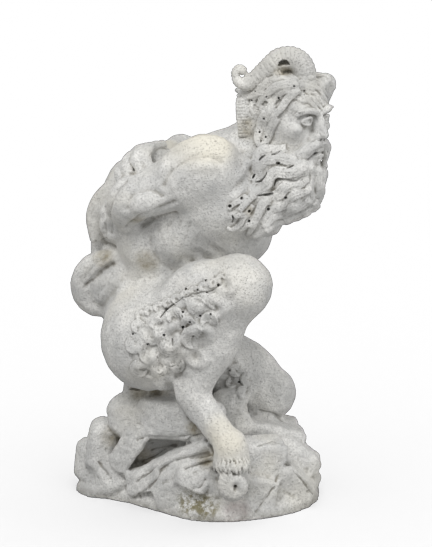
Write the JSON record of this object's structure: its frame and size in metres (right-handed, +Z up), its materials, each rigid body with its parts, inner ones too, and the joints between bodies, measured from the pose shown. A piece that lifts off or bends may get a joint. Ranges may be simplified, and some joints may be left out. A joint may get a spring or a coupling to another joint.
{
  "type": "faun statue",
  "caption": "Carved stone statue of a horned, bearded faun crouching on a rock, arms folded behind its back and one knee raised.",
  "frame": {"origin": "centre of the bounding box in plan, on the flat underside of the rock", "axes": "+Z up, +X the way the figure leans and looks, -Y the side with the raised knee, which the picture shows"},
  "size_m": [0.6304, 0.4928, 1.0991],
  "materials": {
    "stone": "weathered pale limestone, matt, with grey and yellow-brown dirt in the hollows"
  },
  "bodies": {
    "root": {"faun_statue": "stone"}
  },
  "joints": []
}
